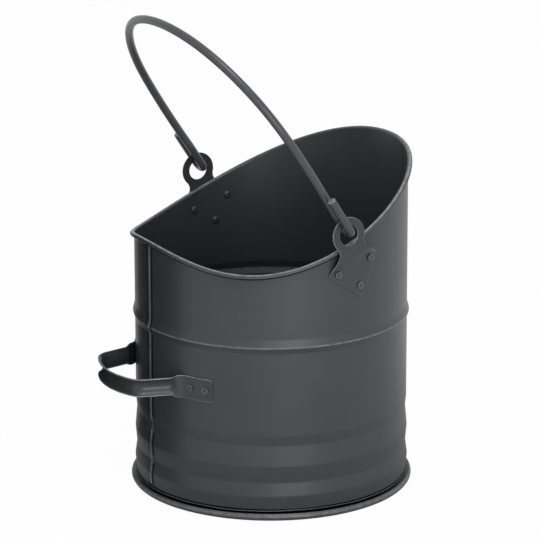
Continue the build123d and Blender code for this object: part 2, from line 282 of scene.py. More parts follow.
@dataclass
class SheetBody:
    """The rolled sheet: a swaged wall with a lock seam and its top edge curled over a wire.

    Heights are above the floor, and offsets are out from the wall's plain outside; the wall runs straight
    between the listed heights and offsets. Rows are a first height, a last one and a count. A painted line of
    highlight or shade is its middle, its width and its strength: up the wall, across the seam, or in degrees
    round the curl. The bead's and the seam's lines also read as rubbed paint.
    """

    # The wall and its swages
    radius: float = WALL_RADIUS
    sheet: float = WALL_SHEET
    bottom: float = 1.8
    heights: tuple = (0.0, 12.6, 25.0, 39.2, 56.6, 78.3, 88.6, 175.5, 181.6, 189.8, 400.0)
    offsets: tuple = (0.0, 0.0, 1.25, -0.75, 0.8, -1.15, 0.0, 0.0, 2.2, 0.0, 0.0)
    crease: float = 0.6
    crease_samples: int = 9

    # The rim's line and its curl
    lip_height: float = 347.7
    saddle_height: float = 255.3
    back_height: float = 271.1
    saddle_angle: float = 129.0
    lip_rounding: float = 1.09
    curl_radius: float = 2.55
    curl_centre: float = 141.65
    curl_end: float = -128.0
    curl_points: int = 40

    # The lock seam at the back
    seam_half: float = 3.6
    seam_height: float = 1.15
    seam_bottom: float = 12.6
    seam_fade: float = 1.5
    seam_steep: float = 0.4
    seam_rolled: float = 1.3

    # The grid's columns and rows
    seam_columns: tuple = (0.0, 1.2, 2.2, 2.9, 3.3, 3.6, 3.9, 4.4)
    seam_clear: float = 5.0
    round_columns: int = 360
    foot_heights: tuple = (6.0, 11.0)
    swage_rows: tuple = (12.0, 92.0, 86)
    plain_rows: tuple = (96.0, 172.0, 18)
    bead_rows: tuple = (173.0, 192.0, 28)
    last_row: float = 196.0
    stretch_from: float = 200.0
    stretch_rows: int = 30

    # The painted highlight lines, also read as rubbed paint, and the curl's painted light and dark lines
    bead_line: tuple = (181.9, 0.7, 0.5)
    least_line: float = 0.05
    ridge_line: tuple = (2.6, 0.7, 0.8)
    ridge_lift: float = 0.5
    ridge_gap: float = 3.0
    curl_lines: tuple = ((82.0, 30.0, 1.0), (18.0, 13.0, -0.8), (-18.0, 15.0, 0.5))

    # The painted shade, and how far inside the wall's outside its outer skin is taken to reach
    inner_shade: float = 5.0
    inner_shade_strength: float = 0.9
    roll_gap: float = 1.4
    roll_end: float = 0.5
    seam_line: float = 4.0
    seam_gap: float = 1.1
    hoop_shade: float = 11.6
    hoop_blur: float = 0.7
    skin: float = 0.32

    def rim_height(self, angle: np.ndarray) -> np.ndarray:
        """Height of the curl's centre: two half cosine waves, from the lip to the saddle and on to the back.

        Args:
            angle: Degrees round from the lip.

        Returns:
            Heights in millimetres.
        """
        around = np.abs((angle + 180.0) % 360.0 - 180.0)
        front = np.clip(around / self.saddle_angle, 0.0, 1.0) ** self.lip_rounding
        back = np.clip((around - self.saddle_angle) / (180.0 - self.saddle_angle), 0.0, 1.0)
        to_lip = self.lip_height - self.saddle_height
        to_back = self.back_height - self.saddle_height
        falling = self.saddle_height + to_lip * (1 + np.cos(math.pi * front)) / 2
        rising = self.saddle_height + to_back * (1 - np.cos(math.pi * back)) / 2
        return np.where(around < self.saddle_angle, falling, rising)

    def swage(self, height: np.ndarray) -> np.ndarray:
        """The wall's offset at a height: straight runs between creases, each crease rounded by a moving mean.

        Args:
            height: Heights in millimetres.

        Returns:
            Offsets outwards, in millimetres.
        """
        shifts = np.linspace(-self.crease, self.crease, self.crease_samples)
        return np.mean([np.interp(height + shift, self.heights, self.offsets) for shift in shifts], axis=0)

    def columns(self) -> np.ndarray:
        """Angles of the grid's columns: evenly spaced, and closer together across the seam at the back.

        Returns:
            Degrees round from the lip, in order.
        """
        plain = ring(self.round_columns)
        edges = np.array(self.seam_columns)
        seam = 180.0 + np.degrees(np.concatenate([-edges[:0:-1], edges]) / self.radius)
        clear = np.abs(plain - 180.0) > np.degrees(self.seam_clear / self.radius)
        return np.sort(np.concatenate([plain[clear], seam]))

    def rows(self, rim: np.ndarray) -> np.ndarray:
        """Heights of the wall's rows: the same all round below, and stretched to the curl's height above.

        Args:
            rim: The curl's height at each column.

        Returns:
            Array of columns and rows.
        """
        runs = [np.linspace(*run) for run in (self.swage_rows, self.plain_rows, self.bead_rows)]
        level = np.concatenate([[self.bottom, *self.foot_heights], *runs, [self.last_row]])
        share = np.linspace(0.0, 1.0, self.stretch_rows + 1)[1:]
        lower = np.broadcast_to(level, (len(rim), len(level)))
        return np.concatenate([lower, self.stretch_from + (rim - self.stretch_from) * share], axis=1)

    def across_seam(self, angle: np.ndarray) -> np.ndarray:
        """How far round the wall each angle is from the seam's middle, in millimetres."""
        return np.radians(angle - 180.0) * self.radius

    def seam(self, angle: np.ndarray, height: np.ndarray) -> np.ndarray:
        """How far the seam stands out: a flat strip with one steep edge and one rolled edge.

        Args:
            angle: Degrees round from the lip.
            height: Heights in millimetres.

        Returns:
            Offsets outwards, in millimetres.
        """
        across = self.across_seam(angle)
        steep = smooth((self.seam_half - across) / self.seam_steep)
        rolled = smooth((across + self.seam_half) / self.seam_rolled)
        return self.seam_height * steep * rolled * smooth((height - self.seam_bottom) / self.seam_fade)

    def curl(self, turn: np.ndarray, radius: float, rim: np.ndarray) -> tuple:
        """One face of the curl: at each column, an arc about the rim's line.

        Args:
            turn: Angles round the curl's middle, in radians from outwards towards up.
            radius: The face's distance from that middle.
            rim: The curl's height at each column.

        Returns:
            Radii and heights, each an array of columns and points.
        """
        r = np.broadcast_to(self.curl_centre + radius * np.cos(turn), (len(rim), len(turn)))
        return r, rim + radius * np.sin(turn)

    def surface(self) -> Surface:
        """The whole sheet as one closed grid.

        Round the body goes one parameter. The other goes up the outside, round the inside of the curl, back
        round its outside and down the inside of the wall, as radius and height.

        Returns:
            The surface.
        """
        angle = self.columns()[:, None]
        rim = self.rim_height(angle)
        height = self.rows(rim)
        seam = self.seam(angle, height) * (height < rim - self.curl_radius)
        outside = self.radius + self.swage(height) + seam
        inside = self.radius - self.sheet + self.swage(height)
        turn = np.radians(np.linspace(180.0, self.curl_end, self.curl_points))
        bore_r, bore_z = self.curl(turn, self.curl_radius - self.sheet, rim)
        skin_r, skin_z = self.curl(turn[::-1], self.curl_radius, rim)
        r = np.concatenate([outside, bore_r, skin_r, inside[:, ::-1]], axis=1)
        z = np.concatenate([height, bore_z, skin_z, height[:, ::-1]], axis=1)
        # Painted light and dark lines round the curl's outside, standing for its highlights and shade.
        around = np.degrees(turn[::-1])
        lines = sum(strength * bell(around, middle, width) for middle, width, strength in self.curl_lines)
        # A band of painted shade inside the wall, just under the curl.
        shade = self.inner_shade_strength * smooth((height[:, ::-1] - rim + self.inner_shade) / self.inner_shade)
        bare = np.zeros_like(np.concatenate([height, bore_z], axis=1))
        wear_and_painted_light = np.concatenate([bare, np.broadcast_to(lines, skin_z.shape), -shade], axis=1)
        wear_and_painted_light = self.rubbed_and_lit(wear_and_painted_light, angle, r, z, rim) - self.painted_shade(angle, r, z, rim)
        return Surface.from_grid(lathed(r, z, np.radians(angle)), wear_and_painted_light, True, True)

    def rubbed_and_lit(self, wear_and_painted_light: np.ndarray, angle: np.ndarray, r: np.ndarray, z: np.ndarray,
               rim: np.ndarray) -> np.ndarray:
        """Paint two bright lines, each a bell curve, as painted highlights that also read as rubbed paint:
        round the bead's crest and up the seam's ridge.

        Args:
            wear_and_painted_light: The wear and painted light so far.
            angle: Degrees round from the lip.
            r: Each point's distance from the axis.
            z: Each point's height.
            rim: The curl's height at each angle.

        Returns:
            The same with both lines.
        """
        middle, width, strength = self.bead_line
        crest = strength * bell(z, middle, width) * (r > self.radius)
        wear_and_painted_light = np.where(crest > self.least_line, crest, wear_and_painted_light)
        middle, width, strength = self.ridge_line
        ridge = strength * bell(self.across_seam(angle), middle, width)
        on_ridge = (r > self.radius + self.ridge_lift) & (z < rim - self.ridge_gap)
        return np.maximum(wear_and_painted_light, ridge * on_ridge)

    def painted_shade(self, angle: np.ndarray, r: np.ndarray, z: np.ndarray, rim: np.ndarray) -> np.ndarray:
        """Painted shade, where the paint is made dull and black: under the curl, beside both edges of the
        seam and over the hoop, where shade falls.

        Args:
            angle: Degrees round from the lip.
            r: Each point's distance from the axis.
            z: Each point's height.
            rim: The curl's height at each angle.

        Returns:
            How dark each point is, from 0 to 1.
        """
        across = np.abs(self.across_seam(angle))
        below = rim - self.curl_radius - self.roll_gap
        under_roll = smooth((z - below) / self.roll_gap) * (z < rim - self.roll_end)
        beside = smooth(1.0 - np.abs(across - self.seam_line) / self.seam_gap) * (z < rim)
        over_hoop = smooth((self.hoop_shade - z) / self.hoop_blur)
        return np.maximum(np.maximum(under_roll, beside), over_hoop) * (r > self.radius - self.skin)

    def build(self) -> bpy.types.Object:
        """Make the finished sheet in place of its plain solid."""
        return placed(self.surface().to_object("body_sheet"), Body.HOD, Slot.BODY, "body_wall")


@dataclass
class FootHoop:
    """The hoop rolled on the bottom edge: a round bead, and a lip that stands up against the wall.

    The lip's section starts inside the pan, passes through the wall's foot, climbs its outside, goes over the
    lip's edge and ends in the groove above the bead, as offsets out from the wall and heights. A wave of the
    edge is a height, how many waves go round and where they start, in radians. The bead's rub and painted
    highlight is its height, its width and its strength.
    """

    centre: float = 141.2
    bead: float = 4.25
    bead_turns: tuple = (102.0, -220.0)
    bead_points: int = 60
    columns: int = 360
    wall: float = WALL_RADIUS
    lip: tuple = (
        (-1.8, 7.2), (-1.8, 2.0), (0.0, 2.0), (0.02, 8.0), (0.4, 9.0), (0.45, 9.9), (0.55, 10.1),
        (0.75, 10.1), (0.95, 9.9), (0.95, 9.4), (0.8, 9.25), (0.5, 9.1), (0.45, 8.9), (0.45, 8.6),
    )
    lip_reach: float = 1.0
    lip_foot: float = 9.3
    waves: tuple = ((0.22, 3.0, 0.4), (0.16, 7.0, 2.0), (0.1, 19.0, 0.0))
    groove: tuple = (7.8, 9.35)
    groove_reach: float = 3.5
    hidden_above: float = 7.5
    hidden_reach: float = 0.5
    edge_above: float = 9.8
    edge_rub_and_highlight: float = 0.3
    bead_rub_and_highlight: tuple = (5.5, 2.0, 0.4)

    def surface(self) -> Surface:
        """The hoop as a closed lathe: its section is radius and height, and its lip's edge wanders in waves.

        Its bead gets a painted highlight, also read as rubbed paint, where it stands out most, and its lip
        one along the edge; the groove between them and the lip's back against the wall are painted dark as
        shade.

        Returns:
            The surface.
        """
        angle = np.radians(ring(self.columns))[:, None]
        bead = arc((self.centre, self.bead), self.bead, *self.bead_turns, self.bead_points)
        section = np.concatenate([bead, np.array(self.lip) + np.array([self.wall, 0.0])])
        out, up = section[:, 0] - self.wall, section[:, 1]
        wander = sum(height * np.sin(times * angle + start) for height, times, start in self.waves)
        is_lip = (up > self.lip_foot) & (out < self.lip_reach)
        r = section[:, 0] + np.zeros_like(angle)
        z = up + wander * is_lip
        # The bead's painted highlight, also read as rubbed paint, where it stands out most.
        middle, width, strength = self.bead_rub_and_highlight
        rub_and_highlight = strength * np.clip((r - self.centre) / self.bead, 0.0, 1.0) * bell(z, middle, width)
        # The groove and the lip's back against the wall are painted dark as shade; the lip's edge gets a
        # painted highlight.
        groove = (up > self.groove[0]) & (up < self.groove[1]) & (out < self.groove_reach)
        hidden = (up > self.hidden_above) & (out < self.hidden_reach)
        edge = (up > self.edge_above) & ~hidden
        dark = (groove | hidden) + np.zeros_like(angle)
        wear_and_painted_light = np.maximum(rub_and_highlight, self.edge_rub_and_highlight * edge) * (1.0 - dark) - dark
        return Surface.from_grid(lathed(r, z, angle), wear_and_painted_light, True, True)

    def build(self) -> bpy.types.Object:
        """Make the finished hoop in place of its plain solid."""
        return placed(self.surface().to_object("foot_hoop_bead"), Body.HOD, Slot.BODY, "foot_hoop")


@dataclass
class FloorPan:
    """The raised floor: a shallow dished disc with a rounded corner and a flange inside the wall."""

    radius: float = 139.2
    gap: float = 0.05
    sheet: float = 1.0
    floor: float = 11.0
    corner: float = 2.2
    corner_points: int = 8
    bottom: float = 1.8
    dish: float = 0.6
    pole: float = 1.0
    flat_gap: float = 0.5
    rings: int = 30
    columns: int = 180

    def surface(self) -> Surface:
        """The pan as a closed lathe of its section, capped in the middle above and below.

        The floor drops towards the middle by the dish times one less the square of its share of the way out.

        Returns:
            The surface.
        """
        reach = self.radius - self.gap
        bend = (reach - self.corner, self.floor - self.corner)
        corner = arc(bend, self.corner, 90.0, 0.0, self.corner_points)
        under = arc(bend, self.corner - self.sheet, 0.0, 90.0, self.corner_points)
        across = np.linspace(self.pole, reach - self.corner - self.flat_gap, self.rings)
        drop = self.dish * (1.0 - (across / reach) ** 2)
        top = np.stack([across, self.floor - drop], axis=-1)
        low = np.stack([across[::-1], self.floor - self.sheet - drop[::-1]], axis=-1)
        foot = np.array([(reach, self.bottom), (reach - self.sheet, self.bottom)])
        section = np.concatenate([top, corner, foot, under, low])
        angle = np.radians(ring(self.columns))
        r, z = section[:, 0][:, None], section[:, 1][:, None] + np.zeros_like(angle)
        return Surface.from_grid(lathed(r, z, angle), np.zeros(z.shape), False, True, caps=True)

    def build(self) -> bpy.types.Object:
        """Make the finished pan in place of its plain solid."""
        return placed(self.surface().to_object("floor_pan"), Body.HOD, Slot.BODY, "base_pan")


@dataclass
class EyePlate:
    """One ear: a ring eye on a three-cornered plate, hugging the wall below and stepped out above.

    Its flat outline is laid out from the middle of the eye, tilted, and then bent to the wall. The front of
    its edges gets a painted highlight, also read as rubbed paint, and the back painted shade. Turn and tilt
    are in degrees.
    """

    turn: float = 3.0
    height: float = 294.5
    tilt: float = 17.0
    sheet: float = 2.0
    eye: float = 18.4
    hole: float = 10.6
    neck: float = 14.8
    neck_drop: float = 17.0
    shoulder: float = 31.0
    shoulder_drop: float = 35.0
    point_drop: float = 71.0
    corner: float = 3.5
    edge: float = 0.45
    step_top: float = 20.5
    step_length: float = 15.0
    wall: float = WALL_RADIUS
    flat: float = 145.1
    eye_points: int = 70
    corner_points: int = 9
    outline_points: int = 260
    face_rows: int = 34
    edge_rows: int = 7
    rubbed_and_lit_rows: int = 4
    rivets: tuple = ((-20.3, -37.0), (20.3, -37.0), (0.0, -58.5))

    def outline(self) -> np.ndarray:
        """The outline, closed: the ring's arc, the neck, the shoulders and the point, with rounded corners.

        Returns:
            Array of points, across and up, running one way round.
        """
        meet = math.degrees(math.asin(-math.sqrt(self.eye ** 2 - self.neck ** 2) / self.eye))
        eye = arc((0.0, 0.0), self.eye, 180.0 - meet, meet, self.eye_points)[1:-1]
        corners = np.array([
            (self.neck, -self.neck_drop), (self.shoulder, -self.shoulder_drop), (0.0, -self.point_drop),
            (-self.shoulder, -self.shoulder_drop), (-self.neck, -self.neck_drop),
        ])
        start = np.array([(self.neck, -math.sqrt(self.eye ** 2 - self.neck ** 2))])
        end = start * np.array([-1.0, 1.0])
        line = np.concatenate([start, corners, end])
        pieces = [eye]
        for before, here, after in zip(line[:-2], line[1:-1], line[2:]):
            pieces.append(self.rounded(before, here, after))
        return spread(np.concatenate(pieces), self.outline_points)

    def rounded(self, before: np.ndarray, here: np.ndarray, after: np.ndarray) -> np.ndarray:
        """A corner rounded by a quadratic curve that leaves each side a corner radius away.

        Args:
            before: The point before the corner.
            here: The corner.
            after: The point after it.

        Returns:
            Points along the rounded corner.
        """
        back = (before - here) / np.linalg.norm(before - here)
        ahead = (after - here) / np.linalg.norm(after - here)
        share = np.linspace(0.0, 1.0, self.corner_points)[:, None]
        start, end = here + back * self.corner, here + ahead * self.corner
        return (1 - share) ** 2 * start + 2 * share * (1 - share) * here + share ** 2 * end

    def bend(self, flat: np.ndarray, depth: np.ndarray) -> np.ndarray:
        """Bend flat points to the wall: tilt them, then push them out to it or, above, to the eye's plane.

        Args:
            flat: Array of across and up.
            depth: How far each point is from the plate's inner face.

        Returns:
            Array of X, Y, Z before the ears' turn, on the right ear's side.
        """
        lean = math.radians(self.tilt)
        forward = flat[..., 0] * math.cos(lean) - flat[..., 1] * math.sin(lean)
        up = flat[..., 0] * math.sin(lean) + flat[..., 1] * math.cos(lean)
        hug = np.sqrt(self.wall ** 2 - forward ** 2)
        share = smooth((flat[..., 1] + self.step_top + self.step_length) / self.step_length)
        out = hug + (self.flat - hug) * share + depth
        return np.stack([forward, -out, self.height + up], axis=-1)

    def surface(self) -> Surface:
        """The right ear as one closed grid.

        One parameter goes round the outline, and the hole's point has the same bearing from its middle. The
        other goes round the thickness: the front from hole to edge, the rounded edge, the back and the hole's
        rounded edge.

        Returns:
            The surface, before the ears' turn.
        """
        outer = self.outline()
        along = np.roll(outer, -1, axis=0) - np.roll(outer, 1, axis=0)
        along /= np.linalg.norm(along, axis=1, keepdims=True)
        outward = np.stack([along[:, 1], -along[:, 0]], axis=-1)
        outward *= np.sign(np.sum(outward[:1] * outer[:1]))
        bearing = np.unwrap(np.arctan2(outer[:, 1], outer[:, 0]))
        inner = self.hole * np.stack([np.cos(bearing), np.sin(bearing)], axis=-1)
        inward = -inner / self.hole
        share = np.linspace(0.0, 1.0, self.face_rows)[:, None, None]
        first, last = inner - inward * self.edge, outer - outward * self.edge
        face = first + (last - first) * share
        turn = np.radians(np.linspace(90.0, -90.0, self.edge_rows + 2))[1:-1, None, None]
        rim = last + outward * self.edge * np.cos(turn)
        bore = first + inward * self.edge * np.cos(turn[::-1])
        rise = np.sin(turn[..., 0])
        rim_depth = self.sheet / 2 + np.sign(rise) * (self.sheet / 2 - self.edge) + self.edge * rise
        flat = np.zeros((self.face_rows, 1))
        ones = np.ones(len(outer))
        depth = np.concatenate([flat + self.sheet, rim_depth, flat, rim_depth[::-1]]) * ones
        grid = self.bend(np.concatenate([face, rim, face[::-1], bore]), depth)
        # The edge's front rows get a painted highlight, also read as rubbed paint, and its back rows painted
        # shade.
        edge = np.where(np.arange(self.edge_rows) < self.rubbed_and_lit_rows, 1.0, -1.0)[:, None]
        return Surface.from_grid(grid, np.concatenate([flat, edge, flat, edge[::-1]]) * ones, True, True)

    def rivet_surface(self) -> Surface:
        """The right ear's three rivets, whose places are tilted with the plate.

        Returns:
            All three as one surface, before the ears' turn.
        """
        lean = math.radians(self.tilt)
        heads = []
        for across, up in self.rivets:
            forward = across * math.cos(lean) - up * math.sin(lean)
            height = self.height + across * math.sin(lean) + up * math.cos(lean)
            angle = math.degrees(math.asin(forward / self.wall)) - 90.0
            heads.append(Rivet(plate=self.sheet).surface(angle, height))
        return reduce(Surface.joined, heads)

    def build(self) -> list:
        """Make both ears and their rivets in place of the plain solids.

        Returns:
            The four objects.
        """
        plate = self.surface()
        rivets = self.rivet_surface()
        right = plate.turned(self.turn).to_object("right_eye_plate")
        left = plate.mirrored().turned(self.turn).to_object("left_eye_plate")
        right_heads = rivets.turned(self.turn).to_object("right_plate_rivets")
        left_heads = rivets.mirrored().turned(self.turn).to_object("left_plate_rivets")
        return [
            placed(right, Body.HOD, Slot.FITTING, "right_ear"),
            placed(left, Body.HOD, Slot.FITTING, "left_ear"),
            placed(right_heads, Body.HOD, Slot.RIVET, "right_ear_rivets"),
            placed(left_heads, Body.HOD, Slot.RIVET, "left_ear_rivets"),
        ]


@dataclass
class Rivet:
    """One rivet through the wall and a plate: a flat head with a rounded edge, a shank and a set tail.

    The crown is radii and how far they are under the head's top. The tail is how far each point is in from
    its edge and down from the wall. The rub and painted highlight is how far under the top it is, its width
    and its strength.
    """

    plate: float = 2.0
    wall: float = WALL_RADIUS
    sheet: float = WALL_SHEET
    head: float = 3.8
    head_height: float = 1.5
    edge: float = 0.5
    crown: tuple = ((0.2, 0.3), (1.6, 0.3), (2.7, 0.05))
    brow_turn: float = 80.0
    brow_points: int = 6
    seat: float = 0.05
    shank: float = 2.1
    tail_radius: float = 4.2
    tail: tuple = ((0.0, 0.0), (0.2, 0.7), (1.0, 1.25), (2.2, 1.4), (4.0, 1.4))
    columns: int = 32
    rub_and_highlight: tuple = (0.2, 0.3, 0.6)
    rub_and_highlight_inside: float = 2.0
    shade_top: float = 0.7
    shade_low: float = 0.2

    def surface(self, angle: float, height: float) -> Surface:
        """The rivet as a lathe about its own axis, which points out from the body's axis.

        The head's brow gets a painted highlight, also read as rubbed paint, and its foot painted shade where
        it meets the plate.

        Args:
            angle: Degrees round from the lip.
            height: Height above the floor.

        Returns:
            The surface.
        """
        low, top = self.plate, self.plate + self.head_height
        crown = np.array([(radius, top - drop) for radius, drop in self.crown])
        brow = arc((self.head - self.edge, top - self.edge), self.edge, self.brow_turn, 0.0, self.brow_points)
        inner = -self.sheet - self.tail_radius ** 2 / (2 * self.wall)
        neck = np.array([(self.head, low - self.seat), (self.shank, low - self.seat), (self.shank, inner)])
        tail = np.array([(self.tail_radius - inset, inner - drop) for inset, drop in self.tail])
        section = np.concatenate([crown, brow, neck, tail])
        reach, out = section[:, 0][:, None], section[:, 1][:, None]
        around = np.radians(ring(self.columns))
        across, up = reach * np.cos(around), reach * np.sin(around)
        grid = np.stack([self.wall + out + np.zeros_like(across), across, height + up], axis=-1)
        # The brow's painted highlight, also read as rubbed paint, and painted shade at the foot where it
        # meets the plate.
        drop, width, strength = self.rub_and_highlight
        bright = strength * bell(out, top - drop, width) * (reach > self.rub_and_highlight_inside)
        dark = smooth((low + self.shade_top - out) / self.shade_top) * (out > low - self.shade_low)
        wear_and_painted_light = np.broadcast_to(bright * (1.0 - dark) - dark, across.shape)
        return Surface.from_grid(turned(grid, angle), wear_and_painted_light, False, True, caps=True)


def spread(line: np.ndarray, count: int) -> np.ndarray:
    """Space points evenly along a closed line, by its length.

    Args:
        line: Array of points; the last joins the first.
        count: How many points are wanted.

    Returns:
        Array of count points.
    """
    closed = np.concatenate([line, line[:1]])
    steps = np.linalg.norm(np.diff(closed, axis=0), axis=1)
    length = np.concatenate([[0.0], np.cumsum(steps)])
    wanted = np.linspace(0.0, length[-1], count + 1)[:-1]
    return np.stack([np.interp(wanted, length, closed[:, axis]) for axis in range(line.shape[1])], axis=-1)


def follow(start: tuple, heading: float, moves: tuple, step: float = 1.5, bend: float = 5.0) -> tuple:
    """Walk a plane path of straights and arcs: each short step goes its chord along its middle heading.

    Args:
        start: First point.
        heading: First heading in degrees.
        moves: Length and turn in degrees of each stretch, one after another.
        step: Longest step wanted.
        bend: Most degrees wanted in a step.

    Returns:
        Array of points, and the heading in degrees at each.
    """
    lengths, turns = np.array(moves).T
    counts = np.ceil(np.maximum(lengths / step, np.abs(turns) / bend)).astype(int)
    length, turn = np.repeat(lengths / counts, counts), np.repeat(turns / counts, counts)
    headings = heading + np.concatenate([[0.0], np.cumsum(turn)])
    middle = np.radians(headings[:-1] + turn / 2)
    chord = length * np.sinc(np.radians(turn / 2) / math.pi)
    moved = np.stack([chord * np.cos(middle), chord * np.sin(middle)], axis=-1)
    points = np.concatenate([[start], np.array(start) + np.cumsum(moved, axis=0)])
    return points, headings


@dataclass
class WireBail:
    """The swinging bail: one bar, hooked round through both eyes, that rises inside them into a bow.

    Its place is that of the hinge. The foot, side and shoulder are each a radius and a turn in degrees, and
    the crown is the turn of the top arc on each side of its middle.
    """

    rod: float = 4.23
    turn: float = 2.3
    lean: float = 33.2
    forward: float = 2.7
    height: float = 296.5
    inner: float = 139.75
    outer: float = 152.45
    stub_top: float = 46.0
    leg: float = 20.0
    foot: tuple = (80.0, -6.5)
    side: tuple = (350.0, 14.9)
    shoulder: tuple = (129.5, 63.0)
    crown: float = 18.6
    bevel: float = 0.7
    tuck: float = 0.001
    columns: int = 32

    def line(self) -> tuple:
        """The bar's middle line in the bail's own plane: along the hinge, and up.

        Returns:
            Array of points, and headings in degrees.
        """
        hook = (self.outer - self.inner) / 2
        bends = (self.foot, self.side, self.shoulder)
        arcs = [(radius * math.radians(abs(turn)), turn) for radius, turn in bends]
        moves = ((self.stub_top - hook, 0.0), (math.pi * hook, -180.0), (self.leg, 0.0), *arcs)
        half, headings = follow((self.outer, self.stub_top), -90.0, moves)
        crown = math.radians(self.crown)
        radius = half[-1, 0] / math.sin(crown)
        top, top_headings = follow(tuple(half[-1]), headings[-1], ((radius * crown, self.crown),))
        half = np.concatenate([half, top[1:]])
        headings = np.concatenate([headings, top_headings[1:]])
        other = half[-2::-1] * np.array([-1.0, 1.0])
        return np.concatenate([half, other]), np.concatenate([headings, -headings[-2::-1]])

    def surface(self) -> Surface:
        """The bar: a circle carried along the middle line, with bevelled flat ends.

        Each point is the line's point plus the rod's radius along the line's normal and the plane's normal.
        The ends are rubbed.

        Returns:
            The surface, turned with its hinge.
        """
        points, headings = self.line()
        ahead = np.stack([np.cos(np.radians(headings)), np.sin(np.radians(headings))], axis=-1)
        first = points[0] + np.outer([-self.tuck, self.bevel], ahead[0])
        last = points[-1] + np.outer([-self.bevel, self.tuck], ahead[-1])
        points = np.concatenate([first, points[1:-1], last])
        headings = np.concatenate([headings[:1], headings, headings[-1:]])
        reach = np.full((len(points), 1), self.rod)
        reach[[0, -1]] -= self.bevel
        around = np.radians(ring(self.columns))
        side = np.radians(headings + 90.0)[:, None]
        along = points[:, 0][:, None] + reach * np.cos(around) * np.cos(side)
        up = points[:, 1][:, None] + reach * np.cos(around) * np.sin(side)
        off = reach * np.sin(around) + np.zeros_like(along)
        lean = math.radians(self.lean)
        x = self.forward - up * math.sin(lean) - off * math.cos(lean)
        z = self.height + up * math.cos(lean) - off * math.sin(lean)
        wear_and_painted_light = np.zeros_like(x)
        wear_and_painted_light[[0, 1, -2, -1]] = 1.0
        grid = turned(np.stack([x, -along, z], axis=-1), self.turn)
        return Surface.from_grid(grid, wear_and_painted_light, False, True, caps=True)

    def build(self) -> bpy.types.Object:
        """Make the finished bail in place of its plain solid."""
        return placed(self.surface().to_object("bail_bar"), Body.BAIL, Slot.BAIL, "bail")


